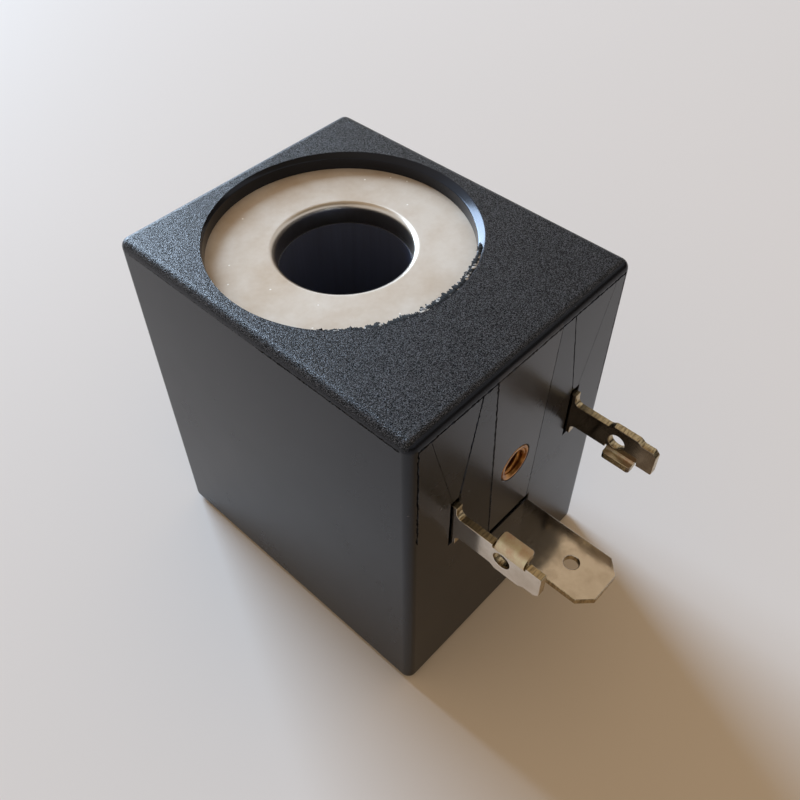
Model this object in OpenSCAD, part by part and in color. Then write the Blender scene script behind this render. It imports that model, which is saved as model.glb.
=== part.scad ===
// Solenoid valve coil: a moulded block round a wound bobbin and its steel circuit,
// with two power terminals, an earth terminal and a threaded insert for the plug screw.
// The origin is on the bore axis at the base, +Z is up, and the terminal face looks towards -Y.

/* [Body] */
// Width across the terminal face
body_w = 30; // [29:0.5:40]
// Height from the base to the top face
body_h = 41; // [38:0.5:60]
// Bore axis to the back face
back_reach = 15; // [14.5:0.1:25]
// Bore axis to the terminal face
front_reach = 22.2; // [21:0.1:30]
// Rounding of the outer edges
edge_r = 1; // [0.3:0.1:1.4]

/* [Bore and recess] */
// Bore of the bobbin, which slides over the valve stem
bore_d = 13; // [8:0.1:14]
// How much wider the holes of the pole washers are
pole_hole_extra = 0.1; // [0.1:0.1:1]
// Diameter of the round recess in the top face
recess_d = 26.5; // [25:0.1:27.5]
// Depth of the recess down to the washer
recess_depth = 1.6; // [0.5:0.1:4]

/* [Steel circuit] */
// Thickness of each pole washer
washer_t = 2.4; // [1.6:0.1:3]
// Rolled edge that punching leaves round a washer hole
die_roll = 0.5; // [0.2:0.1:1.5]
// Wall of the rolled yoke sleeve
yoke_wall = 1.6; // [1:0.1:2.2]
// Gap of the seam at the back of the yoke sleeve
seam_gap = 0.6; // [0.2:0.1:2]

/* [Bobbin and winding] */
// Wall of the bobbin tube
tube_wall = 1; // [0.6:0.1:1.6]
// Thickness of a bobbin flange at the tube
flange_t = 1.2; // [0.8:0.1:2]
// Thickness of a bobbin flange at its edge
flange_edge_t = 0.8; // [0.5:0.1:0.8]
// How far the winding stays inside the flange edge
winding_margin = 0.9; // [0.5:0.1:2]
// Corner chamfer of the winding
winding_chamfer = 0.5; // [0.1:0.1:1]
// Thickness of the tape round the winding
tape_t = 0.2; // [0.05:0.05:0.4]
// Angle over which the tape end laps its start
tape_lap = 40; // [10:5:90]

/* [Power terminals] */
// Distance between the two power terminals
terminal_spacing = 18; // [17:0.5:20]
// Height of the power terminals above the base
terminal_z = 25.1; // [22:0.1:28]
// Sheet thickness of the power terminals
terminal_t = 0.8; // [0.6:0.1:0.9]
// Length of a power terminal outside the terminal face
blade_len = 9.9; // [9.2:0.1:14]
// Height of the blade
blade_h = 3; // [2.9:0.1:3.6]
// Height of the shoulder at the face
shoulder_h = 5.6; // [5:0.1:6]
// How far the shoulder stands out of the face
shoulder_out = 0.5; // [0:0.1:1]
// How deep the shoulder reaches into the block
shoulder_in = 2.5; // [1:0.1:3.5]
// Length of the tail inside the block
tail_len = 6.8; // [5.5:0.1:7.5]
// Height of the tail
tail_h = 3; // [2:0.1:4]
// Hole in the tail that keys it into the moulding
tail_hole_d = 1.4; // [0.6:0.1:1.8]
// Diameter of the hole in the blade
blade_hole_d = 1.8; // [1:0.1:1.9]
// Distance of that hole from the terminal face
blade_hole_at = 5.7; // [4.5:0.1:7]
// Start of the bent flap, from the terminal face
flap_from = 4.8; // [4:0.1:5.2]
// Width of the bent flap
flap_len = 3.2; // [1.5:0.1:3.4]
// Reach of the flap from the middle of the sheet
flap_reach = 1.2; // [1.1:0.1:2]
// How far the flap stands above the edge of the blade
flap_rise = 0.7; // [0.6:0.1:1.2]
// Inside radius of the bend
bend_r = 0.3; // [0.1:0.1:0.4]
// Relief slit on each side of the flap
flap_relief = 0.2; // [0.1:0.05:0.4]
// Height of the bulge on the edge opposite the flap
bulge_h = 0.35; // [0.1:0.05:0.6]
// Chamfer of the tip corner
tip_chamfer = 0.45; // [0.2:0.05:1]
// Width of the slot round the shoulder
slot_w = 1.2; // [1:0.1:2]
// Height of the slot round the shoulder
slot_h = 6.6; // [6.2:0.1:8]

/* [Earth terminal] */
// Height of the earth terminal above the base
earth_z = 15.6; // [13:0.1:18]
// Width of the earth blade
earth_w = 6.3; // [4.8:0.1:7]
// Sheet thickness of the earth terminal
earth_t = 0.8; // [0.6:0.1:1]
// Length of the earth blade outside the terminal face
earth_len = 12.2; // [10:0.1:15]
// Chamfer of its two tip corners
earth_chamfer = 1.4; // [0.2:0.1:2]
// Diameter of the hole in the earth blade
earth_hole_d = 1.6; // [1:0.1:2]
// Distance of that hole from the terminal face
earth_hole_at = 8.1; // [5:0.1:8.5]
// Length of the foot that is welded to the yoke sleeve
earth_foot = 5; // [3:0.1:8]
// Inside radius of the bend above the foot
earth_bend_r = 0.6; // [0.2:0.1:1]
// Room round the earth blade in its slot
earth_slot_room = 0.4; // [0.1:0.05:0.6]
// Depth of that slot
earth_slot_depth = 2; // [1:0.1:4]

/* [Threaded insert] */
// Outside diameter of the brass insert
insert_d = 4.1; // [3.6:0.1:5]
// Length of the insert
insert_len = 6.5; // [6.2:0.1:7]
// Core diameter of its thread
thread_core_d = 2.5; // [2:0.05:2.6]
// Depth of the threaded hole
thread_depth = 5.5; // [4:0.1:5.8]
// Depth of the retaining grooves round the insert
groove_depth = 0.3; // [0.1:0.05:0.4]
// Width of each retaining groove
groove_w = 1; // [0.5:0.1:1.4]
// Countersink at the mouth of the thread
mouth_chamfer = 0.25; // [0.1:0.05:0.4]

/* [Leads] */
// Diameter of a lead
lead_d = 0.5; // [0.3:0.05:0.6]
// Outside diameter of the sleeve on a lead
lead_sleeve_d = 1; // [0.8:0.05:1.2]
// Middle radius of the bend in a lead
lead_bend_r = 1.5; // [1:0.1:2.5]
// Diameter of a solder joint
solder_d = 2.4; // [2:0.1:3]
// How far a lead lies inside the end of the tail
lead_inset = 0.7; // [0.4:0.1:0.9]
// Film of solder between a lead and its tail
solder_film = 0.15; // [0.05:0.05:0.3]

/* [Fits] */
// Clearance between a moulded-in piece and the moulding
fit_gap = 0.05; // [0.02:0.01:0.1]
// Clearance of the leads in the notch of the yoke sleeve
notch_room = 0.5; // [0.3:0.1:1]

/* [Hidden] */
$fn = 64;
// Overshoot of cutting tools past the faces that they cut
cut = 1;

// Distance from the middle of a circle to a chord that passes its axis at the given side distance
function chord(r, side) = sqrt(r * r - side * side);

// Steel circuit
cartridge_r = recess_d / 2 - fit_gap;
pole_hole_r = (bore_d + pole_hole_extra) / 2;
upper_washer_z = body_h - recess_depth - washer_t;
yoke_h = upper_washer_z - washer_t;
yoke_bore_r = cartridge_r - yoke_wall;

// Bobbin and winding
flange_r = yoke_bore_r - fit_gap;
tube_r = bore_d / 2 + tube_wall;
winding_r = flange_r - winding_margin;
winding_z = washer_t + flange_t;
winding_h = yoke_h - 2 * flange_t;

// Power terminals
blade_edge = blade_h / 2;
shoulder_edge = shoulder_h / 2;
neck_r = shoulder_edge - blade_edge;
bend_line = blade_edge + flap_rise - bend_r - terminal_t;
flap_to = flap_from + flap_len;
tail_end_y = tail_len - front_reach;

// Leads
lead_x = (terminal_spacing - terminal_t - lead_d) / 2 - solder_film;
lead_y = tail_end_y - lead_inset;
lead_z = upper_washer_z - flange_t - lead_sleeve_d / 2 - fit_gap;
lead_start = chord(winding_r + fit_gap, lead_x - lead_d / 2);
lead_end_z = terminal_z - solder_d / 4;
sleeve_start = chord(flange_r, lead_x - lead_sleeve_d / 2);
sleeve_end_z = terminal_z + max(solder_d, tail_h) / 2 + fit_gap;
notch_half_w = lead_x + lead_sleeve_d / 2 + notch_room;
notch_z = lead_z - lead_sleeve_d / 2 - notch_room;
tape_h = lead_z - lead_sleeve_d / 2 - fit_gap - winding_z;

// Earth terminal, out from the terminal face and up from its own middle
foot_x = cartridge_r + fit_gap - front_reach;
earth_bend_x = foot_x + earth_t + earth_bend_r;
earth_bend_y = -earth_t / 2 - earth_bend_r;

// A block with rounded edges and ball corners, between two opposite corners
module rounded_block(low, high, r) {
    size = high - low;
    xs = [r, size.x - r];
    ys = [r, size.y - r];
    zs = [r, size.z - r];
    translate(low) {
        translate([0, r, r]) cube(size - [0, 2 * r, 2 * r]);
        translate([r, 0, r]) cube(size - [2 * r, 0, 2 * r]);
        translate([r, r, 0]) cube(size - [2 * r, 2 * r, 0]);
        for (x = xs, y = ys)
            translate([x, y, r]) cylinder(r = r, h = size.z - 2 * r);
        for (x = xs, z = zs)
            translate([x, r, z]) rotate([-90, 0, 0]) cylinder(r = r, h = size.y - 2 * r);
        for (y = ys, z = zs)
            translate([r, y, z]) rotate([0, 90, 0]) cylinder(r = r, h = size.x - 2 * r);
        for (x = xs, y = ys, z = zs)
            translate([x, y, z]) sphere(r = r);
    }
}

// The outline of a power terminal: +X out of the terminal face, +Y towards the flap
module terminal_outline() {
    difference() {
        union() {
            translate([-shoulder_in, -shoulder_edge])
                square([shoulder_in + shoulder_out + neck_r, shoulder_h]);
            translate([-tail_len, -tail_h / 2]) square([tail_len, tail_h]);
            polygon([
                [0, -blade_edge], [flap_from - bulge_h, -blade_edge],
                [flap_from + bulge_h, -blade_edge - bulge_h], [flap_to - bulge_h, -blade_edge - bulge_h],
                [flap_to + bulge_h, -blade_edge], [blade_len - tip_chamfer, -blade_edge],
                [blade_len, -blade_edge + tip_chamfer], [blade_len, blade_edge], [0, blade_edge]
            ]);
        }
        for (side = [-1, 1])
            translate([shoulder_out + neck_r, side * shoulder_edge]) circle(r = neck_r);
        translate([blade_hole_at, 0]) circle(d = blade_hole_d);
        translate([-shoulder_in - tail_hole_d, 0]) circle(d = tail_hole_d);
        translate([flap_from - flap_relief, bend_line])
            square([flap_len + 2 * flap_relief, blade_h]);
    }
}

// The bent flap in section: +X towards the flap, +Y across the sheet
module flap_section() {
    bend_y = -terminal_t / 2 - bend_r;
    outer_r = bend_r + terminal_t;
    translate([bend_line - bend_r, -terminal_t / 2]) square([bend_r, terminal_t]);
    translate([bend_line, bend_y])
        intersection() {
            difference() {
                circle(r = outer_r);
                circle(r = bend_r);
            }
            square(outer_r);
        }
    translate([bend_line + bend_r, -flap_reach]) square([terminal_t, flap_reach + bend_y]);
}

// A power terminal as it leaves the press, lying on its outline
module terminal_stamping() {
    linear_extrude(terminal_t, center = true) terminal_outline();
    translate([flap_from, 0, 0])
        rotate([90, 0, 90]) linear_extrude(flap_len) flap_section();
}

// Puts a stamping at its place: the right one is the same piece turned half round
module at_terminal(side) {
    translate([side * terminal_spacing / 2, -front_reach, terminal_z])
        rotate([90, 0, -90]) rotate([side > 0 ? 180 : 0, 0, 0]) children();
}

// The room that a terminal takes in the moulding: an open slot, then a close fit for the tail
module terminal_pocket(side) {
    at_terminal(side) {
        translate([-shoulder_in - fit_gap, -slot_h / 2, -slot_w / 2])
            cube([shoulder_in + fit_gap + cut, slot_h, slot_w]);
        translate([-tail_len - fit_gap, -tail_h / 2 - fit_gap, -terminal_t / 2 - fit_gap])
            cube([tail_len + fit_gap, tail_h + 2 * fit_gap, terminal_t + 2 * fit_gap]);
    }
}

// A ball of solder round the end of a tail
module solder_ball(side, d) {
    translate([side * terminal_spacing / 2, lead_y, terminal_z]) sphere(d = d);
}

// A round run that leaves the winding forwards, passes the yoke notch and drops to the terminal tail
module lead_run(side, d, start, end_z) {
    translate([side * lead_x, 0, 0]) {
        translate([0, -start, lead_z])
            rotate([90, 0, 0]) cylinder(d = d, h = -lead_y - lead_bend_r - start);
        translate([0, lead_y + lead_bend_r, lead_z - lead_bend_r])
            rotate([90, 0, -90]) rotate_extrude(angle = 90) translate([lead_bend_r, 0]) circle(d = d);
        translate([0, lead_y, end_z]) cylinder(d = d, h = lead_z - lead_bend_r - end_z);
    }
}

module lead(side) {
    lead_run(side, lead_d, lead_start, lead_end_z);
}

module lead_sleeve(side) {
    difference() {
        lead_run(side, lead_sleeve_d, sleeve_start, sleeve_end_z);
        lead_run(side, lead_d + 2 * fit_gap, sleeve_start - cut, sleeve_end_z - cut);
    }
}

module solder_joint(side) {
    difference() {
        solder_ball(side, solder_d);
        at_terminal(side) linear_extrude(terminal_t, center = true) terminal_outline();
        lead(side);
    }
}

// The earth terminal from the side: +X out of the terminal face, +Y up
module earth_section() {
    outer_r = earth_bend_r + earth_t;
    translate([earth_bend_x, -earth_t / 2]) square([earth_len - earth_bend_x, earth_t]);
    translate([earth_bend_x, earth_bend_y])
        intersection() {
            difference() {
                circle(r = outer_r);
                circle(r = earth_bend_r);
            }
            translate([-outer_r, 0]) square(outer_r);
        }
    translate([foot_x, -earth_foot]) square([earth_t, earth_foot + earth_bend_y]);
}

// The earth terminal from above: +X out of the terminal face, +Y across
module earth_plan() {
    half_w = earth_w / 2;
    difference() {
        polygon([
            [foot_x, -half_w], [earth_len - earth_chamfer, -half_w],
            [earth_len, -half_w + earth_chamfer], [earth_len, half_w - earth_chamfer],
            [earth_len - earth_chamfer, half_w], [foot_x, half_w]
        ]);
        translate([earth_hole_at, 0]) circle(d = earth_hole_d);
    }
}

// Turns +X out of the terminal face and +Y up, at the height of the earth terminal
module at_earth() {
    translate([0, -front_reach, earth_z]) rotate([90, 0, -90]) children();
}

// The room that the earth terminal takes: a slot in the face, its own thickness, and its foot
module earth_pocket() {
    fit_w = earth_w + 2 * fit_gap;
    fit_t = earth_t + 2 * fit_gap;
    slot_w = earth_w + 2 * earth_slot_room;
    slot_t = earth_t + 2 * earth_slot_room;
    foot_front = earth_bend_x + fit_gap;
    at_earth() {
        translate([-earth_slot_depth, -slot_t / 2, -slot_w / 2])
            cube([earth_slot_depth + cut, slot_t, slot_w]);
        translate([foot_x, -fit_t / 2, -fit_w / 2]) cube([-foot_x, fit_t, fit_w]);
        translate([foot_x - cut, -earth_foot - fit_gap, -fit_w / 2])
            cube([foot_front - foot_x + cut, earth_foot + fit_gap + fit_t / 2, fit_w]);
    }
}

// Turns +Z out of the terminal face, on the axis of the plug screw
module at_insert() {
    translate([0, -front_reach, terminal_z]) rotate([90, 0, 0]) children();
}

// A washer with a rolled upper edge round its hole, standing on its lower face
module pole_washer() {
    ring_w = cartridge_r - pole_hole_r;
    rotate_extrude()
        translate([pole_hole_r, 0]) {
            square([ring_w, washer_t - die_roll]);
            translate([die_roll, 0]) square([ring_w - die_roll, washer_t]);
            translate([die_roll, washer_t - die_roll]) circle(r = die_roll);
        }
}

// Moulded block: the round cavity is the recess above and holds the steel circuit below it
module encapsulation() {
    half_w = body_w / 2;
    color("#2b2c30") difference() {
        rounded_block([-half_w, -front_reach, 0], [half_w, back_reach, body_h], edge_r);
        translate([0, 0, -cut]) cylinder(d = recess_d, h = body_h + 2 * cut);
        for (side = [-1, 1]) {
            terminal_pocket(side);
            solder_ball(side, solder_d + 2 * fit_gap);
            lead_run(side, lead_sleeve_d + 2 * fit_gap, 0, terminal_z);
        }
        earth_pocket();
        at_insert() translate([0, 0, -insert_len - fit_gap])
            cylinder(d = insert_d + 2 * fit_gap, h = insert_len + fit_gap + cut);
    }
}

module upper_pole_washer() {
    color("#b9b1a3") translate([0, 0, upper_washer_z]) pole_washer();
}

module lower_pole_washer() {
    color("#b9b1a3") pole_washer();
}

// Rolled sheet with a butt seam at the back and a notch for the leads at the front
module yoke_sleeve() {
    color("#8d8f92") difference() {
        translate([0, 0, washer_t]) cylinder(r = cartridge_r, h = yoke_h);
        translate([0, 0, washer_t - cut]) cylinder(r = yoke_bore_r, h = yoke_h + 2 * cut);
        translate([-seam_gap / 2, 0, washer_t - cut])
            cube([seam_gap, cartridge_r + cut, yoke_h + 2 * cut]);
        translate([-notch_half_w, -cartridge_r - cut, notch_z])
            cube([2 * notch_half_w, cartridge_r + cut, upper_washer_z - notch_z + cut]);
    }
}

// Moulded spool with flanges that thin towards their edges
module bobbin() {
    color("#26282e") rotate_extrude()
        translate([0, washer_t])
            polygon([
                [bore_d / 2, 0], [flange_r, 0], [flange_r, flange_edge_t], [tube_r, flange_t],
                [tube_r, yoke_h - flange_t], [flange_r, yoke_h - flange_edge_t], [flange_r, yoke_h],
                [bore_d / 2, yoke_h]
            ]);
}

// All turns of the wire as one ring
module winding() {
    color("#b06a35") rotate_extrude()
        translate([0, winding_z])
            polygon([
                [tube_r, 0], [winding_r - winding_chamfer, 0], [winding_r, winding_chamfer],
                [winding_r, winding_h - winding_chamfer], [winding_r - winding_chamfer, winding_h],
                [tube_r, winding_h]
            ]);
}

// One turn of tape with a lapped end, kept below the leads
module winding_tape() {
    color("#d8b23c") rotate([0, 0, 90]) {
        rotate_extrude() translate([winding_r, winding_z]) square([tape_t, tape_h]);
        rotate_extrude(angle = tape_lap)
            translate([winding_r + tape_t / 2, winding_z]) square([1.5 * tape_t, tape_h]);
    }
}

module start_lead() {
    color("#b06a35") lead(-1);
}

module finish_lead() {
    color("#b06a35") lead(1);
}

module start_lead_sleeve() {
    color("#e6e1d2") lead_sleeve(-1);
}

module finish_lead_sleeve() {
    color("#e6e1d2") lead_sleeve(1);
}

module left_terminal() {
    color("#cfc7b4") at_terminal(-1) terminal_stamping();
}

module right_terminal() {
    color("#cfc7b4") at_terminal(1) terminal_stamping();
}

module left_solder_joint() {
    color("#b8bcc0") solder_joint(-1);
}

module right_solder_joint() {
    color("#b8bcc0") solder_joint(1);
}

// One sheet: the blade outside, and a foot that is bent down and welded to the yoke sleeve
module earth_terminal() {
    color("#cfc7b4") at_earth() intersection() {
        linear_extrude(earth_w, center = true) earth_section();
        rotate([90, 0, 0]) linear_extrude(2 * earth_foot + cut, center = true) earth_plan();
    }
}

// Turned bush with a blind thread core and two grooves that hold it in the moulding
module threaded_insert() {
    groove_pitch = insert_len / 3;
    color("#b5803d") at_insert() rotate_extrude() difference() {
        translate([0, -insert_len]) square([insert_d / 2, insert_len]);
        translate([0, -thread_depth]) square([thread_core_d / 2, thread_depth + cut]);
        polygon([
            [0, 0], [thread_core_d / 2 + mouth_chamfer, 0], [thread_core_d / 2, -mouth_chamfer],
            [0, -mouth_chamfer]
        ]);
        for (i = [1, 2])
            translate([insert_d / 2 - groove_depth, -i * groove_pitch - groove_w / 2])
                square([groove_depth + cut, groove_w]);
    }
}

encapsulation();
upper_pole_washer();
lower_pole_washer();
yoke_sleeve();
bobbin();
winding();
winding_tape();
start_lead();
finish_lead();
start_lead_sleeve();
finish_lead_sleeve();
left_terminal();
right_terminal();
left_solder_joint();
right_solder_joint();
earth_terminal();
threaded_insert();
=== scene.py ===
import math
import random
import bmesh
import bpy
from mathutils import Matrix, Vector


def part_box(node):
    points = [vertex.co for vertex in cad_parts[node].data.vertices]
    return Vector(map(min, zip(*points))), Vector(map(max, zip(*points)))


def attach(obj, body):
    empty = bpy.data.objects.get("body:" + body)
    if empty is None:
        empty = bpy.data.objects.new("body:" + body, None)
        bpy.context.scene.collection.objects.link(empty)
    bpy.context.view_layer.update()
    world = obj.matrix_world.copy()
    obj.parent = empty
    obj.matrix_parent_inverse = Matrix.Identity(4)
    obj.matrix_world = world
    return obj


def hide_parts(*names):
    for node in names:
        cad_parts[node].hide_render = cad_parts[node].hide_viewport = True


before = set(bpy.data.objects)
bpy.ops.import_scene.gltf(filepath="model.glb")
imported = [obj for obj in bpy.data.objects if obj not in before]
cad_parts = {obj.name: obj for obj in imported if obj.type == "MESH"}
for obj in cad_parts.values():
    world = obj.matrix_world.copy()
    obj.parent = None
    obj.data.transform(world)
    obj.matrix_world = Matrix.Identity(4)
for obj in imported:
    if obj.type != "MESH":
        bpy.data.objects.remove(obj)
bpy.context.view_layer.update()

mm = 0.001
dice = random.Random(41)  # one seeded source for every uneven edge
scene = bpy.context.scene
scene.view_settings.view_transform = "Standard"


def linear(hexColour):
    parts = [int(hexColour[i:i + 2], 16) / 255 for i in (1, 3, 5)]
    return [c / 12.92 if c <= 0.04045 else ((c + 0.055) / 1.055) ** 2.4 for c in parts] + [1.0]


def feed(node, inputs):  # links a socket, or sets a plain value
    for name, value in inputs.items():
        if isinstance(value, bpy.types.NodeSocket):
            node.id_data.links.new(value, node.inputs[name])
        else:
            node.inputs[name].default_value = value


def addNode(tree, kind, inputs=None, **settings):
    node = tree.nodes.new(kind)
    for name, value in settings.items():
        setattr(node, name, value)
    feed(node, inputs or {})
    return node


def startMaterial(name, kind="ShaderNodeBsdfPrincipled"):
    material = bpy.data.materials.new(name)
    material.use_nodes = True
    tree = material.node_tree
    tree.nodes.clear()
    shader = addNode(tree, kind)
    addNode(tree, "ShaderNodeOutputMaterial", {"Surface": shader.outputs[0]})
    coords = addNode(tree, "ShaderNodeTexCoord").outputs["Object"]
    return material, tree, coords, shader


def perMm(size):  # texture scale for a pattern of this size in millimetres, in metre coordinates
    return 1 / (size * mm)


# Glass-filled black polyamide out of a steel mould: the lid of the mould was spark-eroded, so the top
# sparkles with fine pits, partly as painted highlights on their crests and painted shade in their floors,
# and the polished side plates leave a satin skin that mirrors the table softly
moulding = {
    # the two wall tones are lighter and bluer than the black: painted reflection on the recess wall
    "black": "#0d0f13", "blackWorn": "#14161a", "wall": "#181b22", "wallPaintedSheenDrift": "#23262d", "cloudSize": 6.0,
    "grainSize": 0.077,  # real pits are nearer 0.05 mm, drawn coarser so that they show
    # pit floors are painted darker as painted shade and pit crests lighter as painted highlights
    "grainDepth": 0.04, "pitFloor": "#050507", "pitCrestPaintedHighlight": "#50525a",
    "paintedHighlightRange": (0.53, 0.7), "shade": (0.1, 1.0),
    "dust": "#75777c", "dustSpread": (1.5, 0.05, 0.6),  # spacing, size and solid share of a speck
    "lint": "#4b4c50", "lintSpread": (2.6, 0.11, 0.5),
    "topRoughness": 0.32, "sideRoughness": 0.26, "drift": 0.1, "wallGloss": 0.6, "sideShine": 0.5,
    "peelSize": 2.2, "peelDepth": 0.0018, "sideTint": "#c9d2e6", "topTint": "#f6f9ff",
    "lidFrom": 39.5, "polished": (-21.8, -21.6), "face": -22.1, "rimRadius": 13.3,
    "plateFoot": (16.45, 3.15), "plateHead": (39.9, 4.4), "plateTone": "#2c2c2e",  # height and half width
}
blackPolyamide, tree, coords, shader = startMaterial("blackPolyamideSparkEroded")
spot = addNode(tree, "ShaderNodeSeparateXYZ", {0: coords}).outputs
facing = addNode(tree, "ShaderNodeSeparateXYZ", {0: coords.node.outputs["Normal"]}).outputs["Z"]
facingUp = addNode(tree, "ShaderNodeMapRange", {
    "Value": facing, "From Min": 0.15, "From Max": 0.6,
}).outputs["Result"]
behindEdge = addNode(tree, "ShaderNodeMapRange", {
    "Value": spot["Y"], "From Min": moulding["polished"][0] * mm, "From Max": moulding["polished"][1] * mm,
}).outputs["Result"]  # the rounding above the terminal face is polished
flatSpot = addNode(tree, "ShaderNodeCombineXYZ", {"X": spot["X"], "Y": spot["Y"]}).outputs[0]
fromBore = addNode(tree, "ShaderNodeVectorMath", {0: flatSpot}, operation="LENGTH").outputs["Value"]
fromMiddle = addNode(tree, "ShaderNodeMath", {0: spot["X"]}, operation="ABSOLUTE").outputs[0]
(plateFrom, narrow), (plateTo, broad) = moulding["plateFoot"], moulding["plateHead"]
plateHalf = addNode(tree, "ShaderNodeMapRange", {
    "Value": spot["Z"], "From Min": plateFrom * mm, "From Max": plateTo * mm,
    "To Min": narrow * mm, "To Max": broad * mm,
}).outputs["Result"]
masks = {}
for mask, measure, limit, test in (
    ("lid", spot["Z"], moulding["lidFrom"] * mm, "GREATER_THAN"),
    ("outside", fromBore, moulding["rimRadius"] * mm, "GREATER_THAN"),
    ("plate", fromMiddle, plateHalf, "LESS_THAN"),
    ("face", spot["Y"], moulding["face"] * mm, "LESS_THAN"),
    ("aboveFoot", spot["Z"], plateFrom * mm, "GREATER_THAN"),
):
    masks[mask] = addNode(tree, "ShaderNodeMath", {0: measure, 1: limit}, operation=test).outputs[0]
onTop = facingUp
for mask in (masks["lid"], masks["outside"], behindEdge):
    onTop = addNode(tree, "ShaderNodeMath", {0: onTop, 1: mask}, operation="MULTIPLY").outputs[0]
onPlate = masks["plate"]
for mask in (masks["face"], masks["aboveFoot"]):
    onPlate = addNode(tree, "ShaderNodeMath", {0: onPlate, 1: mask}, operation="MULTIPLY").outputs[0]
pits = addNode(tree, "ShaderNodeTexNoise", {
    "Vector": coords, "Scale": perMm(moulding["grainSize"]), "Detail": 1.0, "Roughness": 0.6,
}).outputs["Fac"]
clouds = addNode(tree, "ShaderNodeTexNoise", {
    "Vector": coords, "Scale": perMm(moulding["cloudSize"]), "Detail": 4.0, "Roughness": 0.6,
}).outputs["Fac"]
peel = addNode(tree, "ShaderNodeTexNoise", {
    "Vector": coords, "Scale": perMm(moulding["peelSize"]), "Detail": 2.0,
}).outputs["Fac"]
motes = {}
for mote in ("lint", "dust"):
    spacing, size, solid = moulding[mote + "Spread"]
    distance = addNode(tree, "ShaderNodeTexVoronoi", {
        "Vector": coords, "Scale": perMm(spacing),
    }).outputs["Distance"]
    motes[mote] = addNode(tree, "ShaderNodeMapRange", {
        "Value": distance, "From Min": size / spacing * solid, "From Max": size / spacing,
        "To Min": 1.0, "To Max": 0.0,
    }).outputs["Result"]
# share of painted highlight on the crests of the pits
paintedCrestShare = addNode(tree, "ShaderNodeMapRange", {
    "Value": pits, "From Min": moulding["paintedHighlightRange"][0], "From Max": moulding["paintedHighlightRange"][1],
}).outputs["Result"]
tones = {name: linear(tone) for name, tone in moulding.items() if isinstance(tone, str)}
for tone, share, under, over in (
    ("smooth", clouds, "black", "blackWorn"),
    ("plated", onPlate, "smooth", "plateTone"),  # the mould's middle plate was blasted: a greyer strip
    ("sides", motes["lint"], "plated", "lint"),
    # painted shade in the pit floors and painted highlight on their crests, then real dust specks over them
    ("pitted", paintedCrestShare, "pitFloor", "pitCrestPaintedHighlight"),
    ("dustOverPaintedSparkle", motes["dust"], "pitted", "dust"),
    ("recess", clouds, "wall", "wallPaintedSheenDrift"),  # the recess wall is drawn lighter and bluer than the sides: painted reflection
    ("walls", masks["outside"], "recess", "sides"),
    ("skin", onTop, "walls", "dustOverPaintedSparkle"),
    ("sheen", onTop, "sideTint", "topTint"),
):
    tones[tone] = addNode(tree, "ShaderNodeMix", {
        0: share, 6: tones[under], 7: tones[over],
    }, data_type="RGBA").outputs[2]
gloss = addNode(tree, "ShaderNodeMapRange", {
    "Value": onTop, "To Min": moulding["sideRoughness"], "To Max": moulding["topRoughness"],
}).outputs["Result"]
drift = addNode(tree, "ShaderNodeMath", {
    0: clouds, 1: moulding["drift"], 2: -moulding["drift"] / 2,
}, operation="MULTIPLY_ADD").outputs[0]
uneven = addNode(tree, "ShaderNodeMath", {0: gloss, 1: drift}, operation="ADD").outputs[0]
polish = addNode(tree, "ShaderNodeMapRange", {
    "Value": masks["outside"], "To Min": moulding["wallGloss"], "To Max": 1.0,
}).outputs["Result"]  # the core pin was polished
satin = addNode(tree, "ShaderNodeMath", {0: uneven, 1: polish}, operation="MULTIPLY").outputs[0]
peelBump = addNode(tree, "ShaderNodeBump", {
    "Height": peel, "Strength": 1.0, "Distance": moulding["peelDepth"] * mm,
}).outputs["Normal"]
pitBump = addNode(tree, "ShaderNodeBump", {
    "Height": pits, "Strength": onTop, "Distance": moulding["grainDepth"] * mm, "Normal": peelBump,
}).outputs["Normal"]
glint = addNode(tree, "ShaderNodeMapRange", {
    "Value": pits, "From Min": 0.4, "From Max": 0.6,
    "To Min": moulding["shade"][0], "To Max": moulding["shade"][1],
}).outputs["Result"]  # the floor of a pit is shaded by its rim
shine = addNode(tree, "ShaderNodeMix", {0: onTop, 2: moulding["sideShine"], 3: glint}).outputs[0]
feed(shader, {
    "Base Color": tones["skin"], "Roughness": satin, "IOR": 1.41, "Specular IOR Level": shine,
    "Specular Tint": tones["sheen"], "Normal": pitBump,
})

# Blanked steel, tumbled and zinc plated: an even, soft, warm white metal with a few specks of dust
plating = {
    "pale": "#d9d1c7", "dull": "#c9baa8", "cloudSize": 7.0, "mottleSize": 0.6, "mottleDepth": 0.0006,
    "roughness": (0.8, 0.85), "burnished": 0.36, "film": 0.68, "flat": (0.93, 0.998),
    "dust": "#f0eeea", "dustSpacing": 5.5, "dustSize": 0.11,
}
platedSteel, tree, coords, shader = startMaterial("zincPlatedSteelTumbled")
clouds = addNode(tree, "ShaderNodeTexNoise", {
    "Vector": coords, "Scale": perMm(plating["cloudSize"]), "Detail": 5.0, "Roughness": 0.62,
}).outputs["Fac"]
mottle = addNode(tree, "ShaderNodeTexNoise", {
    "Vector": coords, "Scale": perMm(plating["mottleSize"]), "Detail": 3.0,
}).outputs["Fac"]
patches = addNode(tree, "ShaderNodeMapRange", {
    "Value": clouds, "From Min": 0.36, "From Max": 0.64,
}).outputs["Result"]
face = addNode(tree, "ShaderNodeMix", {
    0: patches, 6: linear(plating["dull"]), 7: linear(plating["pale"]),
}, data_type="RGBA").outputs[2]
specks = addNode(tree, "ShaderNodeTexVoronoi", {
    "Vector": coords, "Scale": perMm(plating["dustSpacing"]),
}, voronoi_dimensions="2D").outputs["Distance"]
speck = plating["dustSize"] / plating["dustSpacing"]
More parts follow.
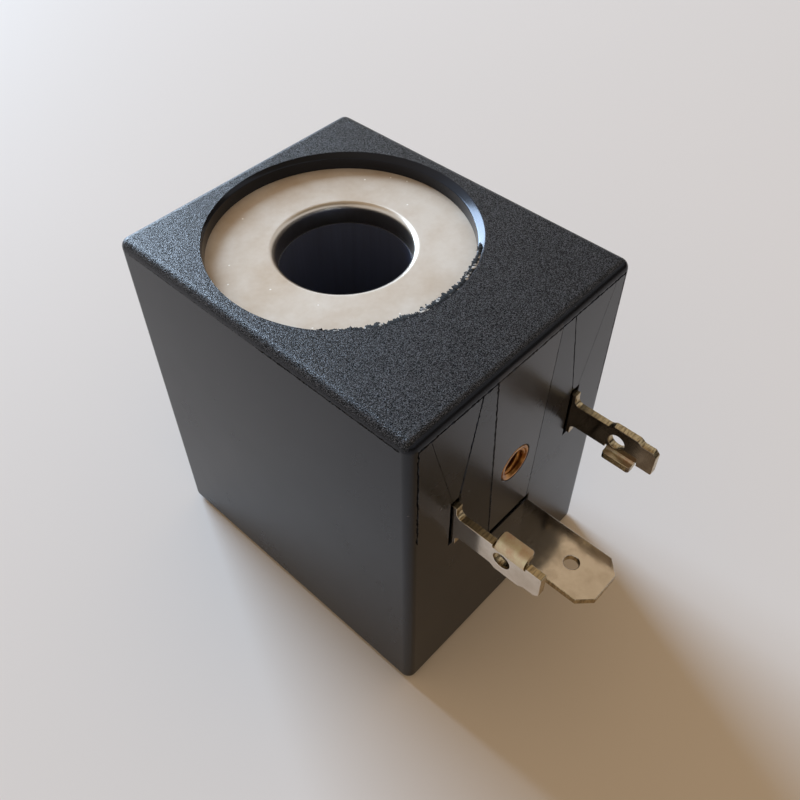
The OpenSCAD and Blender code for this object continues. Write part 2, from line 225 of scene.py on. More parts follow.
dusty = addNode(tree, "ShaderNodeMapRange", {
    "Value": specks, "From Min": speck * 0.7, "From Max": speck, "To Min": 1.0, "To Max": 0.0,
}).outputs["Result"]
speckled = addNode(tree, "ShaderNodeMix", {
    0: dusty, 6: face, 7: linear(plating["dust"]),
}, data_type="RGBA").outputs[2]
rough = addNode(tree, "ShaderNodeMapRange", {
    "Value": mottle, "From Min": 0.3, "From Max": 0.7,
    "To Min": plating["roughness"][0], "To Max": plating["roughness"][1],
}).outputs["Result"]
upright = addNode(tree, "ShaderNodeSeparateXYZ", {0: coords.node.outputs["Normal"]}).outputs["Z"]
facing = addNode(tree, "ShaderNodeMath", {0: upright}, operation="ABSOLUTE").outputs[0]
flatFrom, flatTo = plating["flat"]
rubbing = addNode(tree, "ShaderNodeMapRange", {
    "Value": facing, "From Min": flatFrom, "From Max": flatTo,
    "To Min": plating["burnished"], "To Max": 1.0,
}).outputs["Result"]  # tumbling burnishes the rolled edge
satin = addNode(tree, "ShaderNodeMath", {0: rough, 1: rubbing}, operation="MULTIPLY").outputs[0]
clear = addNode(tree, "ShaderNodeMapRange", {
    "Value": facing, "From Min": flatFrom, "From Max": flatTo, "To Min": 1.0, "To Max": plating["film"],
}).outputs["Result"]  # a dull passivated film lies on the flat
clean = addNode(tree, "ShaderNodeMath", {0: 1.0, 1: dusty}, operation="SUBTRACT").outputs[0]
bare = addNode(tree, "ShaderNodeMath", {0: clear, 1: clean}, operation="MULTIPLY").outputs[0]
dimples = addNode(tree, "ShaderNodeBump", {
    "Height": mottle, "Strength": 1.0, "Distance": plating["mottleDepth"] * mm,
}).outputs["Normal"]
feed(shader, {"Base Color": speckled, "Metallic": bare, "Roughness": satin, "Normal": dimples})

# Bright tin over brass strip: nearly mirror, with drawn lines along the strip and greyer rubbed patches
tin = {
    "bright": ("#e6ddd1", "#d6cbbc"), "paintedShade": ("#887c6e", "#695e52"),  # clean and rubbed tones
    "lineSize": 0.12, "lineStretch": 0.06, "lineDepth": 0.0012, "patchSize": 2.0, "roughness": (0.08, 0.15),
}
tinnedBrass = {}
for coat in ("bright", "paintedShade"):  # the right terminal's copy is drawn darker than the left's, as painted shade
    tinnedBrass[coat], tree, coords, shader = startMaterial(coat + "TinOnBrassStrip")
    along = addNode(tree, "ShaderNodeMapping", {
        "Vector": coords, "Scale": (1.0, tin["lineStretch"], 1.0),
    }).outputs["Vector"]
    lines = addNode(tree, "ShaderNodeTexNoise", {
        "Vector": along, "Scale": perMm(tin["lineSize"]), "Detail": 2.0,
    }).outputs["Fac"]
    patches = addNode(tree, "ShaderNodeTexNoise", {
        "Vector": coords, "Scale": perMm(tin["patchSize"]), "Detail": 4.0, "Roughness": 0.6,
    }).outputs["Fac"]
    rubbed = addNode(tree, "ShaderNodeMapRange", {
        "Value": patches, "From Min": 0.4, "From Max": 0.66,
    }).outputs["Result"]
    face = addNode(tree, "ShaderNodeMix", {
        0: rubbed, 6: linear(tin[coat][0]), 7: linear(tin[coat][1]),
    }, data_type="RGBA").outputs[2]
    rough = addNode(tree, "ShaderNodeMapRange", {
        "Value": patches, "From Min": 0.35, "From Max": 0.65,
        "To Min": tin["roughness"][0], "To Max": tin["roughness"][1],
    }).outputs["Result"]
    drawn = addNode(tree, "ShaderNodeBump", {
        "Height": lines, "Strength": 1.0, "Distance": tin["lineDepth"] * mm,
    }).outputs["Normal"]
    feed(shader, {"Base Color": face, "Metallic": 1.0, "Roughness": rough, "Normal": drawn})

# Two coats that gave way: tin stretched over a bend crazes, dulls and lets a pinkish warmth of the brass
# through, and the moulding's skin, where it ripped off the mould, is matt black with whitened shreds
tornCoats = {
    "tinCrazedOverBend": {
        "tones": ("#d9cba8", "#cbab8c"), "patchSize": 0.9, "patchRoughness": 0.6, "turn": (0.38, 0.66),
        "crackSize": 0.15, "crackDetail": 3.0, "crackDepth": 0.01,
        "surface": {"Metallic": 1.0, "Roughness": 0.46},
    },
    "blackPolyamideTorn": {
        "tones": ("#08080a", "#cfcecb"), "patchSize": 0.55, "patchRoughness": 0.7, "turn": (0.56, 0.65),
        "crackSize": 0.09, "crackDetail": 2.0, "crackDepth": 0.03,
        "surface": {"Roughness": 0.8, "IOR": 1.41},
    },
}
torn = {}
for coat, look in tornCoats.items():
    torn[coat], tree, coords, shader = startMaterial(coat)
    patches = addNode(tree, "ShaderNodeTexNoise", {
        "Vector": coords, "Scale": perMm(look["patchSize"]), "Detail": 4.0,
        "Roughness": look["patchRoughness"],
    }).outputs["Fac"]
    turned = addNode(tree, "ShaderNodeMapRange", {
        "Value": patches, "From Min": look["turn"][0], "From Max": look["turn"][1],
    }).outputs["Result"]
    face = addNode(tree, "ShaderNodeMix", {
        0: turned, 6: linear(look["tones"][0]), 7: linear(look["tones"][1]),
    }, data_type="RGBA").outputs[2]
    cracks = addNode(tree, "ShaderNodeTexNoise", {
        "Vector": coords, "Scale": perMm(look["crackSize"]), "Detail": look["crackDetail"],
    }).outputs["Fac"]
    broken = addNode(tree, "ShaderNodeBump", {
        "Height": cracks, "Strength": 1.0, "Distance": look["crackDepth"] * mm,
    }).outputs["Normal"]
    feed(shader, look["surface"])
    feed(shader, {"Base Color": face, "Normal": broken})

# Sheared brass: the press leaves the cut edge bare, olive brown, with torn streaks through the sheet
shear = {"bright": "#c0ae8b", "torn": "#8c7a5c", "streakSize": 0.14, "streakDepth": 0.012, "squeeze": 0.12}
shearedBrass = {}
for lay, across in (("upright", (shear["squeeze"], 1.0, 1.0)), ("flat", (1.0, 1.0, shear["squeeze"]))):
    shearedBrass[lay], tree, coords, shader = startMaterial("shearedBrass" + lay.title())
    through = addNode(tree, "ShaderNodeMapping", {"Vector": coords, "Scale": across}).outputs["Vector"]
    streaks = addNode(tree, "ShaderNodeTexNoise", {
        "Vector": through, "Scale": perMm(shear["streakSize"]), "Detail": 2.0, "Roughness": 0.6,
    }).outputs["Fac"]
    tearing = addNode(tree, "ShaderNodeMapRange", {
        "Value": streaks, "From Min": 0.44, "From Max": 0.64,
    }).outputs["Result"]
    face = addNode(tree, "ShaderNodeMix", {
        0: tearing, 6: linear(shear["bright"]), 7: linear(shear["torn"]),
    }, data_type="RGBA").outputs[2]
    tears = addNode(tree, "ShaderNodeBump", {
        "Height": streaks, "Strength": 1.0, "Distance": shear["streakDepth"] * mm,
    }).outputs["Normal"]
    feed(shader, {"Base Color": face, "Metallic": 1.0, "Roughness": 0.27, "Normal": tears})

# Turned brass, tarnished by the heat of moulding: orange-brown with fine tool rings round its axis
bush = {
    "bright": "#c08a4c", "tarnished": "#7d4c22", "ringPitch": 0.09, "ringDepth": 0.004, "stainSize": 0.9,
    "axisHeight": 25.1,
}
turnedBrass, tree, coords, shader = startMaterial("turnedBrassTarnished")
centred = addNode(tree, "ShaderNodeMapping", {
    "Vector": coords, "Location": (0.0, 0.0, -bush["axisHeight"] * mm),
}).outputs["Vector"]
rings = addNode(tree, "ShaderNodeTexWave", {
    "Vector": centred, "Scale": perMm(bush["ringPitch"]) / 20, "Distortion": 0.6, "Detail": 2.0,
}, wave_type="RINGS", rings_direction="Y").outputs["Fac"]
stain = addNode(tree, "ShaderNodeTexNoise", {
    "Vector": coords, "Scale": perMm(bush["stainSize"]), "Detail": 4.0,
}).outputs["Fac"]
stained = addNode(tree, "ShaderNodeMapRange", {
    "Value": stain, "From Min": 0.38, "From Max": 0.66,
}).outputs["Result"]
face = addNode(tree, "ShaderNodeMix", {
    0: stained, 6: linear(bush["bright"]), 7: linear(bush["tarnished"]),
}, data_type="RGBA").outputs[2]
tooling = addNode(tree, "ShaderNodeBump", {
    "Height": rings, "Strength": 1.0, "Distance": bush["ringDepth"] * mm,
}).outputs["Normal"]
feed(shader, {"Base Color": face, "Metallic": 1.0, "Roughness": 0.34, "Normal": tooling})

# Finishes of the inner nodes, each with one pattern for tone and relief: the dark nylon spool, navy with
# draw lines along its bore and painted lighter as painted light in that shaded bore, cold-rolled sheet,
# oiled, with rolling lines round the sleeve, glossy amber film with wrinkles where it was pulled tight,
# copper wire with a varnished ridge for each turn, painted dark between the turns as painted shade and light
# on each crown as painted highlight, and braided glass with a cream and buff check, the buff as painted
# shade in the weave
innerLooks = {
    "darkNylonMoulded": {
        "kind": "ShaderNodeTexNoise", "pattern": {"Scale": perMm(0.4), "Detail": 3.0},
        # both tones are far lighter than the dark nylon itself: painted light in the shaded bore
        "lay": {"Scale": (1.0, 1.0, 0.04)}, "tones": ("#434b60", "#525b75"), "relief": (1.0, 0.008),
        "surface": {"Roughness": 0.34, "IOR": 1.53},
    },
    "coldRolledSteelOiled": {
        "kind": "ShaderNodeTexNoise", "pattern": {"Scale": perMm(0.3), "Detail": 4.0},
        "lay": {"Scale": (0.08, 0.08, 1.0)}, "tones": ("#83858a", "#a9abae"), "relief": (1.0, 0.006),
        "surface": {"Metallic": 1.0, "Roughness": 0.4},
    },
    "amberPolyesterFilm": {
        "kind": "ShaderNodeTexNoise", "pattern": {"Scale": perMm(3.0), "Detail": 3.0},
        "lay": {"Scale": (1.0, 1.0, 0.25)}, "tones": ("#c99a2a", "#dcb64a"), "relief": (1.0, 0.05),
        "surface": {"Roughness": 0.18, "IOR": 1.57},
    },
    "enamelledCopperWire": {
        "kind": "ShaderNodeTexWave", "settings": {"bands_direction": "Z"},
        "pattern": {"Scale": perMm(0.4) / 20 * 2 * math.pi, "Distortion": 0.0},  # a turn every 0.4 mm
        # dark between the turns and light on each crown: painted shade and painted highlight
        "lay": {}, "tones": ("#4c2210", "#b5672f"), "relief": (1.0, 0.1),
        "surface": {"Metallic": 0.85, "Roughness": 0.3, "Coat Weight": 0.6, "Coat Roughness": 0.1},
    },
    "braidedGlassSleeving": {
        "kind": "ShaderNodeTexChecker", "pattern": {"Scale": perMm(0.22)},
        # the buff squares are painted shade in the weave and the cream squares painted light
        "lay": {"Rotation": (0.6, 0.6, 0.8)}, "tones": ("#ece4d0", "#b9ad92"), "relief": (0.7, 0.03),
        "surface": {"Roughness": 0.6, "IOR": 1.52},
    },
}
innerFinish = {}
for finish, look in innerLooks.items():
    innerFinish[finish], tree, coords, shader = startMaterial(finish)
    lay = addNode(tree, "ShaderNodeMapping", dict(look["lay"], Vector=coords)).outputs["Vector"]
    settings = look.get("settings", {})
    pattern = addNode(tree, look["kind"], dict(look["pattern"], Vector=lay), **settings).outputs["Fac"]
    face = addNode(tree, "ShaderNodeMix", {
        0: pattern, 6: linear(look["tones"][0]), 7: linear(look["tones"][1]),
    }, data_type="RGBA").outputs[2]
    relief = addNode(tree, "ShaderNodeBump", {
        "Height": pattern, "Strength": look["relief"][0], "Distance": look["relief"][1] * mm,
    }).outputs["Normal"]
    feed(shader, look["surface"])
    feed(shader, {"Base Color": face, "Normal": relief})

# Tin-lead solder, set in air: satin grey metal with frosted patches
solder = {"bright": "#b4b6b8", "frosted": "#8f9193", "patchSize": 0.7, "roughness": (0.22, 0.5)}
innerFinish["softSolderSet"], tree, coords, shader = startMaterial("softSolderSet")
frost = addNode(tree, "ShaderNodeTexNoise", {
    "Vector": coords, "Scale": perMm(solder["patchSize"]), "Detail": 4.0,
}).outputs["Fac"]
face = addNode(tree, "ShaderNodeMix", {
    0: frost, 6: linear(solder["bright"]), 7: linear(solder["frosted"]),
}, data_type="RGBA").outputs[2]
rough = addNode(tree, "ShaderNodeMapRange", {
    "Value": frost, "From Min": 0.35, "From Max": 0.65,
    "To Min": solder["roughness"][0], "To Max": solder["roughness"][1],
}).outputs["Result"]
feed(shader, {"Base Color": face, "Metallic": 1.0, "Roughness": rough})
print("materials:", len(bpy.data.materials))


def showMesh(name, bm, materials):
    mesh = bpy.data.meshes.new(name)
    bm.to_mesh(mesh)
    bm.free()
    for material in materials:
        mesh.materials.append(material)
    piece = bpy.data.objects.new(name, mesh)
    scene.collection.objects.link(piece)
    return piece


def settle(piece):  # turns the piece's modifiers into a plain mesh
    evaluated = piece.evaluated_get(bpy.context.evaluated_depsgraph_get())
    mesh = bpy.data.meshes.new_from_object(evaluated)
    piece.modifiers.clear()
    old = piece.data
    piece.data = mesh
    bpy.data.meshes.remove(old)
    mesh.name = piece.name


def smoothFlats(piece, angle):  # smooth shading that keeps flat faces flat and creases sharp
    piece.data.polygons.foreach_set("use_smooth", [True] * len(piece.data.polygons))
    piece.data.set_sharp_from_angle(angle=math.radians(angle))
    even = piece.modifiers.new("even", "WEIGHTED_NORMAL")
    even.keep_sharp = True
    even.weight = 80
    settle(piece)


def lathe(profile, steps, place):  # closed loop of (radius, height) in mm, spun about local Z
    bm = bmesh.new()
    rings = []
    for i in range(steps):
        turn = 2 * math.pi * i / steps
        rings.append([
            bm.verts.new(place @ Vector((r * math.cos(turn), r * math.sin(turn), h)) * mm)
            for r, h in profile
        ])
    for i in range(steps):
        here = rings[i]
        there = rings[(i + 1) % steps]
        for j in range(len(profile)):
            k = (j + 1) % len(profile)
            bm.faces.new((here[j], there[j], there[k], here[k]))
    bmesh.ops.remove_doubles(bm, verts=bm.verts, dist=1e-7)
    bmesh.ops.dissolve_degenerate(bm, dist=1e-8, edges=bm.edges)
    bmesh.ops.recalc_face_normals(bm, faces=bm.faces)
    return bm


def arc(cx, cy, radius, fromAngle, toAngle, steps):
    angles = [math.radians(fromAngle + (toAngle - fromAngle) * i / steps) for i in range(steps + 1)]
    return [(cx + radius * math.cos(a), cy + radius * math.sin(a)) for a in angles]


def boxPlace(lowest, highest):  # takes a unit cube to this box
    return Matrix.Translation((lowest + highest) / 2) @ Matrix.Diagonal(highest - lowest).to_4x4()


# Moulded block: one rounded form, cut by the recess, the slots and the witness lines of the mould
block = {
    "edgeRadius": 1.0, "edgeSteps": 8,
    "seatRadius": 13.25, "seatEase": 0.15, "mouthRadius": 12.85, "recessSteps": 192, "washerGap": 0.004,
    "bank": (0.45, 0.42), "bankShift": (-0.323, 0.069),
    "face": -22.2, "plugHeight": 25.1, "terminalX": 9.0, "leadX": 8.2,
    "slot": (1.2, 6.6, 2.55), "earthSlot": (7.1, 1.6, 2.0), "earthHeight": 15.6,
    "mouthFlare": 0.1, "pocketRadius": 2.1, "pocketDepth": 6.55, "pocketEase": 0.08, "pocketSteps": 64,
    "lineWidth": 0.24, "lineDepth": 0.3, "lineWander": 0.035, "lineStep": 0.22,
}
low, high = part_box("encapsulation")
bm = bmesh.new()
bmesh.ops.create_cube(bm, size=1.0, matrix=boxPlace(low, high))
bmesh.ops.bevel(
    bm, geom=list(bm.edges), offset=block["edgeRadius"] * mm, segments=block["edgeSteps"],
    profile=0.5, affect="EDGES",
)
mouldedBlock = showMesh("mouldedBlock", bm, [blackPolyamide])
cutters = []
spare = 1.0  # how far a cutter stands past the surface, in mm


def addCutter(bm):
    bmesh.ops.recalc_face_normals(bm, faces=bm.faces)
    cutter = showMesh("cutter", bm, [blackPolyamide])
    cutters.append(cutter)


def loftCutter(bm, rings):  # joins closed rings of points, end to end
    count = len(rings[0])
    for here, there in zip(rings, rings[1:]):
        for j in range(count):
            k = (j + 1) % count
            bm.faces.new((here[j], here[k], there[k], there[j]))
    bm.faces.new(rings[0])
    bm.faces.new(rings[-1])
    addCutter(bm)


def slotCutter(cx, cz, width, tall, depth, flare):  # square hole in the terminal face with an eased mouth
    face = block["face"]
    bm = bmesh.new()
    rings = []
    steps = (face + depth, 0.0), (face + flare, 0.0), (face, flare), (face - spare, flare + spare)
    for y, grow in steps:
        w = width / 2 + grow
        h = tall / 2 + grow
        corners = ((-w, -h), (w, -h), (w, h), (-w, h))
        rings.append([bm.verts.new(Vector((cx + x, y, cz + z)) * mm) for x, z in corners])
    loftCutter(bm, rings)


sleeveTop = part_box("start_lead_sleeve")[1].z / mm
hollows = {  # half width, then depth and height from and to
    "tail": (0.45, (-20.0, 23.55), (-15.0, 26.65)), "joint": (1.25, (-17.3, 23.9), (-14.8, 27.2)),
    "duct": (0.55, (-16.65, 26.0), (-8.0, sleeveTop + 0.05)),
    "earthBlade": (3.2, (-21.0, 15.15), (-12.0, 16.05)), "earthFoot": (3.2, (-15.7, 10.55), (-12.0, 16.05)),
}


def hollowCutter(name, left, right):  # room for what is moulded in, round it from left to right
    half, inner, outer = hollows[name]
    bm = bmesh.new()
    place = boxPlace(Vector((left - half, *inner)) * mm, Vector((right + half, *outer)) * mm)
    bmesh.ops.create_cube(bm, size=1.0, matrix=place)
    addCutter(bm)


sidePlanes = {  # rows that take along, inwards and up on each side to x and y
    "front": ((1, 0, 0, 0), (0, 1, 0, low.y / mm)), "back": ((1, 0, 0, 0), (0, -1, 0, high.y / mm)),
    "left": ((0, 1, 0, low.x / mm), (1, 0, 0, 0)), "right": ((0, -1, 0, high.x / mm), (1, 0, 0, 0)),
}


def lineCutter(side, start, end, width, depth, wander):  # uneven V groove between two points on a side
    plane = Matrix((*sidePlanes[side], (0, 0, 1, 0), (0, 0, 0, 1)))
    out = 0.1
    (x0, z0), (x1, z1) = start, end
    length = math.hypot(x1 - x0, z1 - z0)
    nx, nz = (z1 - z0) / length, -(x1 - x0) / length
    count = max(2, int(length / block["lineStep"]))
    bm = bmesh.new()
    rings = []
    for i in range(count + 1):
        x = x0 + (x1 - x0) * i / count
        z = z0 + (z1 - z0) * i / count
        sway = dice.uniform(-wander, wander)
        half = width / 2 * dice.uniform(0.5, 1.35)
        deep = depth * dice.uniform(0.7, 1.2)
        wide = half * (deep + out) / deep
        rings.append([
            bm.verts.new(plane @ Vector((x + nx * (sway + off), inward, z + nz * (sway + off))) * mm)
            for off, inward in ((-wide, -out), (wide, -out), (0.0, deep))
        ])
    loftCutter(bm, rings)


seatRadius, ease, mouth = block["seatRadius"], block["seatEase"], block["mouthRadius"]
wide, deep = block["bank"]
slope = [  # shares of the bank's width and depth, from its foot to its rounded shoulder
    (0.0, 1.0), (0.02, 0.92), (0.1, 0.8), (0.2, 0.7), (0.8, 0.14), (0.9, 0.06), (0.97, 0.01), (1.0, 0.0),
]
top = high.z / mm
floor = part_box("upper_pole_washer")[1].z / mm + block["washerGap"]
cavity = [(0.0, -spare), (seatRadius + ease + spare, -spare)]
cavity += arc(seatRadius + ease, ease, ease, 270, 180, 5)
cavity += [(seatRadius, floor), (mouth, floor)]  # the moulding laps the edge of the washer
cavity += [(mouth + wide * across, top - deep * down) for across, down in slope]
cavity += [(mouth + wide + spare, top + spare), (0.0, top + spare)]
bm = lathe(cavity, block["recessSteps"], Matrix.Identity(3))
shift = Vector((*block["bankShift"], 0.0)) * mm
for vert in bm.verts:  # the core pin sat a little to one side, so the bank is widest on the other
    reach = (mouth + wide - vert.co.xy.length / mm) / wide
    if vert.co.z / mm > floor - 0.001 and reach > 0:
        vert.co += shift * min(reach, 1.0)
addCutter(bm)
for side in (-1, 1):
    x = side * block["terminalX"]
    slotCutter(x, block["plugHeight"], *block["slot"], block["mouthFlare"])
    lead = side * block["leadX"]
    hollowCutter("tail", x, x)
    hollowCutter("joint", min(x, lead), max(x, lead))
    hollowCutter("duct", lead, lead)
slotCutter(0.0, block["earthHeight"], *block["earthSlot"], block["mouthFlare"])
hollowCutter("earthBlade", 0.0, 0.0)
hollowCutter("earthFoot", 0.0, 0.0)
seat = Matrix.Translation((0, block["face"], block["plugHeight"]))
seat = seat @ Matrix.Rotation(math.radians(90), 4, "X")
radius, depth, ease = block["pocketRadius"], block["pocketDepth"], block["pocketEase"]
pocket = [(0.0, -depth), (radius, -depth), (radius, -ease), (radius + ease, 0.0)]
pocket += [(radius + ease + spare, spare), (0.0, spare)]
addCutter(lathe(pocket, block["pocketSteps"], seat))

# Witness lines where the mould's plates met round the slots, and the parting line round the block: the ends
# of each line on its side, then its shares of the common width, depth and wander
lineHead, slotHead, plateFoot, parting = 39.9, 28.45, 16.45, 39.95
witness = []
for hand, bold in ((-1, 1.0), (1, 0.6)):
    witness += [
        ("front", (hand * 6.3, lineHead), (hand * 8.5, slotHead), bold, 1.0, 1.0),
        ("front", (hand * 12.6, lineHead), (hand * 9.4, slotHead), 0.22, 0.35, 0.6),
        ("front", (hand * 4.4, lineHead), (hand * 3.15, plateFoot), bold * bold, 1.0, 1.0),
    ]
witness += [
    ("front", (-14.05, 27.0), (-14.05, lineHead), 0.95, 1.0, 2.0),
    ("front", (-14.1, parting), (14.1, parting), 1.1, 1.0, 1.0),
    ("front", (14.05, 24.0), (14.05, lineHead), 0.6, 1.0, 1.0),
    ("left", (-21.1, parting), (-5.0, parting), 0.85, 1.0, 1.0),
    ("left", (-5.0, parting), (13.9, parting), 0.4, 0.6, 1.0),
    ("right", (-21.1, parting), (13.9, parting), 0.5, 0.7, 1.0),
    ("back", (-13.9, parting), (13.9, parting), 0.5, 0.7, 1.0),
]
lineWidth, lineDepth, lineWander = block["lineWidth"], block["lineDepth"], block["lineWander"]
for side, start, end, wide, deep, sway in witness:
    lineCutter(side, start, end, lineWidth * wide, lineDepth * deep, lineWander * sway)
for cutter in cutters:
    cut = mouldedBlock.modifiers.new("cut", "BOOLEAN")
    cut.operation = "DIFFERENCE"
    cut.solver = "EXACT"
    cut.object = cutter
    settle(mouldedBlock)
    bpy.data.objects.remove(cutter)
smoothFlats(mouldedBlock, 35)
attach(mouldedBlock, "root")
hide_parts("encapsulation")
print("moulded block:", len(mouldedBlock.data.polygons), "faces")

# Flash: the thin ragged skin and crumbs that the mould left along the front of the recess rim
flash = {
    "Rim Radius": 13.1 * mm, "Rim Height": 40.91 * mm, "Start Angle": math.radians(-145),
    "Rim X": block["bankShift"][0] * mm, "Rim Y": block["bankShift"][1] * mm,
    "Sweep Angle": math.radians(92), "Stations": 620, "Reach": 1.6 * mm, "Thickness": 0.16 * mm,
    "Tear Scale": perMm(0.65), "Bluntness": 0.4, "Crumbs": 110, "Crumb Size": 0.1 * mm, "Seed": 7,
}
crumbSpread = {  # least and most of each crumb's offset, turn and stretch
    "shake": ((-0.25 * mm, -0.05 * mm, -0.19 * mm), (0.25 * mm, 0.28 * mm, -0.04 * mm)),
    "tumble": ((0.0, 0.0, 0.0), (6.28, 6.28, 6.28)), "shape": ((0.25, 0.25, 0.25), (1.9, 1.2, 0.8)),
}


def startTree(name, inputs):
    tree = bpy.data.node_groups.new(name, "GeometryNodeTree")
    tree.interface.new_socket("Geometry", in_out="OUTPUT", socket_type="NodeSocketGeometry")
    for label, value in inputs.items():
        kind = "NodeSocketInt" if isinstance(value, int) else "NodeSocketFloat"
        tree.interface.new_socket(label, in_out="INPUT", socket_type=kind)
    tree.interface.new_socket("Finish", in_out="INPUT", socket_type="NodeSocketMaterial")
    return tree, addNode(tree, "NodeGroupInput").outputs


def endTree(tree, geometry, finish):
    real = addNode(tree, "GeometryNodeRealizeInstances", {"Geometry": geometry}).outputs["Geometry"]
    finished = addNode(tree, "GeometryNodeSetMaterial", {
        "Geometry": real, "Material": finish,
    }).outputs["Geometry"]
    addNode(tree, "NodeGroupOutput", {"Geometry": finished})


def growPiece(name, tree, inputs, material):
    piece = bpy.data.objects.new(name, bpy.data.meshes.new(name))
    scene.collection.objects.link(piece)
    grow = piece.modifiers.new(name, "NODES")
    grow.node_group = tree
    values = dict(inputs, Finish=material)
    for socket in tree.interface.items_tree:
        if socket.in_out == "INPUT":
            grow[socket.identifier] = values[socket.name]
    settle(piece)
    return piece


tree, given = startTree("rimFlash", flash)
ring = addNode(tree, "GeometryNodeCurveArc", {
    "Resolution": given["Stations"], "Radius": given["Rim Radius"],
    "Start Angle": given["Start Angle"], "Sweep Angle": given["Sweep Angle"],
}, mode="RADIUS").outputs["Curve"]
lift = addNode(tree, "ShaderNodeCombineXYZ", {
    "X": given["Rim X"], "Y": given["Rim Y"], "Z": given["Rim Height"],
}).outputs[0]
raised = addNode(tree, "GeometryNodeTransform", {"Geometry": ring, "Translation": lift}).outputs["Geometry"]
upright = addNode(tree, "GeometryNodeSetCurveNormal", {"Curve": raised}, mode="Z_UP").outputs["Curve"]
ragged = addNode(tree, "ShaderNodeTexNoise", {
    "Scale": given["Tear Scale"], "Detail": 5.0, "Roughness": 0.75,
}).outputs["Fac"]
share = addNode(tree, "ShaderNodeMapRange", {
    "Value": ragged, "From Min": 0.34, "From Max": 0.68, "To Min": 0.1, "To Max": 1.0,
}).outputs["Result"]
along = addNode(tree, "GeometryNodeSplineParameter").outputs["Factor"]
fade = addNode(tree, "ShaderNodeMath", {0: along, 1: math.pi}, operation="MULTIPLY").outputs[0]
fadeSine = addNode(tree, "ShaderNodeMath", {0: fade}, operation="SINE").outputs[0]
blunt = addNode(tree, "ShaderNodeMath", {0: fadeSine, 1: given["Bluntness"]}, operation="POWER").outputs[0]
width = addNode(tree, "ShaderNodeMath", {0: share, 1: blunt}, operation="MULTIPLY").outputs[0]
ribbon = addNode(tree, "GeometryNodeCurvePrimitiveQuadrilateral", {
    "Width": given["Reach"], "Height": given["Thickness"],
}).outputs["Curve"]
skinMesh = addNode(tree, "GeometryNodeCurveToMesh", {
    "Curve": upright, "Profile Curve": ribbon, "Scale": width, "Fill Caps": True,
}).outputs["Mesh"]
spread = addNode(tree, "GeometryNodeResampleCurve", {
    "Curve": raised, "Count": given["Crumbs"],
}).outputs["Curve"]
chance = {}
for what, (least, most) in crumbSpread.items():
    chance[what] = addNode(tree, "FunctionNodeRandomValue", {
        0: least, 1: most, "Seed": given["Seed"],
    }, data_type="FLOAT_VECTOR").outputs[0]
strewn = addNode(tree, "GeometryNodeSetPosition", {
    "Geometry": spread, "Offset": chance["shake"],
}).outputs["Geometry"]
crumb = addNode(tree, "GeometryNodeMeshIcoSphere", {
    "Radius": given["Crumb Size"], "Subdivisions": 1,
}).outputs["Mesh"]
crumbs = addNode(tree, "GeometryNodeInstanceOnPoints", {
    "Points": strewn, "Instance": crumb, "Rotation": chance["tumble"], "Scale": chance["shape"],
}).outputs["Instances"]
both = addNode(tree, "GeometryNodeJoinGeometry")
tree.links.new(skinMesh, both.inputs[0])
tree.links.new(crumbs, both.inputs[0])
endTree(tree, both.outputs[0], given["Finish"])
rimFlash = growPiece("rimFlash", tree, flash, torn["blackPolyamideTorn"])
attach(rimFlash, "root")
print("rim flash:", len(rimFlash.data.polygons), "faces")

# Pole washers: blanked discs with the punch's roll round the hole and a broken outer edge
washer = {"hole": 6.55, "outer": 13.2, "roll": 0.7, "outerEase": 0.05, "lowerEase": 0.1, "steps": 256}
for name, node in (("upperPoleWasher", "upper_pole_washer"), ("lowerPoleWasher", "lower_pole_washer")):
    low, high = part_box(node)
    t, roll, ease = (high.z - low.z) / mm, washer["roll"], washer["outerEase"]
    small = washer["lowerEase"]
    profile = arc(washer["hole"] + small, small, small, 270, 180, 3)
    profile += arc(washer["hole"] + roll, t - roll, roll, 180, 90, 14)
    profile += arc(washer["outer"] - ease, t - ease, ease, 90, 0, 4)
    profile += arc(washer["outer"] - ease, ease, ease, 0, -90, 4)
    bm = lathe(profile, washer["steps"], Matrix.Translation((0, 0, low.z / mm)))
    piece = showMesh(name, bm, [platedSteel])
    smoothFlats(piece, 35)
    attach(piece, "root")
    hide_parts(node)
print("pole washers done")

# Power terminals: one stamping, with a hole, a bulge and a flap bent in from one edge
blade = {
    "x": 9.0, "z": 25.1, "sheet": 0.8, "length": 9.9, "half": 1.5, "shoulder": 2.8,
    "shoulderOut": 0.5, "shoulderIn": 2.5, "tail": 6.8, "tailHole": (-3.9, 0.7), "hole": (5.7, 0.9),
    "neck": 0.6, "flap": (4.8, 8.0), "relief": 0.2, "bendLine": 1.1, "bendRadius": 0.3, "bendSteps": 10,
    "flapEnd": 1.2, "bulge": (4.45, 5.15, 7.65, 8.35, 0.35), "tip": 0.45, "corner": 0.15, "edgeRoll": 0.07,
    "flapCorner": 0.3, "holeSteps": 24, "bulgeSteps": 8,
}


def stampSheet(outlines, thick):  # plates from half outlines that share the middle line
    bm = bmesh.new()
    made = {}
    for outline in outlines:
        loop = []
        for u, v in outline:
            key = (round(u, 5), round(v, 5))
            if key not in made:
                made[key] = bm.verts.new((u, v, -thick / 2))
            if not loop or loop[-1] is not made[key]:
                loop.append(made[key])
        bm.faces.new(loop)
    bmesh.ops.recalc_face_normals(bm, faces=bm.faces)
    raised = bmesh.ops.extrude_face_region(bm, geom=list(bm.faces), use_keep_orig=True)
    for item in raised["geom"]:
        if isinstance(item, bmesh.types.BMVert):
            item.co.z += thick
    bmesh.ops.recalc_face_normals(bm, faces=bm.faces)
    for face in bm.faces:
        face.material_index = 0 if abs(face.normal.z) > 0.9 else 1
    return bm


